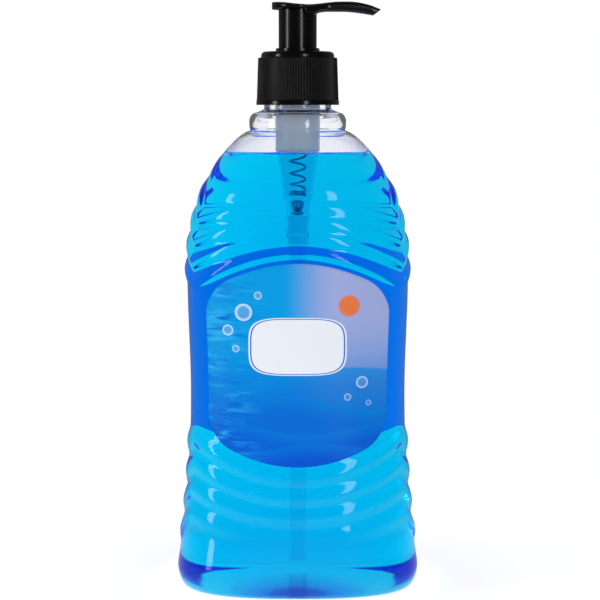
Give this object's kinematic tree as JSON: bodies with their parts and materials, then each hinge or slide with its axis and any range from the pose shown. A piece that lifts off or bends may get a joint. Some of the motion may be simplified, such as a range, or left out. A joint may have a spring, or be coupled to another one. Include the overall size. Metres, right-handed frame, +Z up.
{
  "type": "liquid soap bottle",
  "caption": "Waisted clear bottle of liquid soap with chevron ribs, a front and a back label, and a screw-on lotion pump whose head presses and turns.",
  "frame": {"origin": "centre of the base on the table, on the axis of the neck", "axes": "+Z up along the neck's axis, +X the way the nozzle points, -Y the front"},
  "size_m": [0.0954, 0.068, 0.2289],
  "materials": {
    "clear_pet": "clear blow-moulded PET",
    "soap": "clear blue liquid",
    "label": "printed film label",
    "black_satin": "satin moulded PP",
    "black_gloss": "gloss moulded PP",
    "white_foam": "foamed PE",
    "milky_pp": "natural PP",
    "spring_steel": "drawn stainless wire",
    "white_pe": "white PE"
  },
  "bodies": {
    "bottle_body": {"bottle": "clear_pet", "liquid_soap": "soap", "front_label": "label", "back_label": "label"},
    "pump_body": {"pump_housing": "milky_pp", "collar": "black_gloss", "gasket": "white_foam", "dip_tube": "milky_pp", "return_spring": "spring_steel"},
    "closure_body": {"closure": "black_satin"},
    "piston": {"piston_seal": "white_pe"},
    "head": {"actuator": "black_gloss", "piston_stem": "white_pe", "piston_core": "white_pe"},
    "ball": {"check_ball": "spring_steel"}
  },
  "joints": [
    {"name": "pump_lift", "type": "slide", "parent": "bottle_body", "child": "pump_body", "axis": [0, 0, 1], "range_m": [0, 0.0064]},
    {"name": "closure_turn", "type": "hinge", "parent": "pump_body", "child": "closure_body", "pos_m": [0, 0, 0.2], "axis": [0, 0, 1], "range_deg": [0, 540]},
    {"name": "head_press", "type": "slide", "parent": "pump_body", "child": "piston", "axis": [0, 0, -1], "range_m": [0, 0.011], "stiffness_N_per_m": 600, "springref_m": -0.012, "deforming": ["return_spring"]},
    {"name": "head_turn", "type": "hinge", "parent": "piston", "child": "head", "pos_m": [0, 0, 0.2], "axis": [0, 0, 1], "continuous": true},
    {"name": "ball_lift", "type": "slide", "parent": "pump_body", "child": "ball", "axis": [0, 0, 1], "range_m": [0, 0.0015]}
  ],
  "couplings": [
    {"joint": "pump_lift", "follows": "closure_turn", "m_per_rad": 0.0006737}
  ]
}
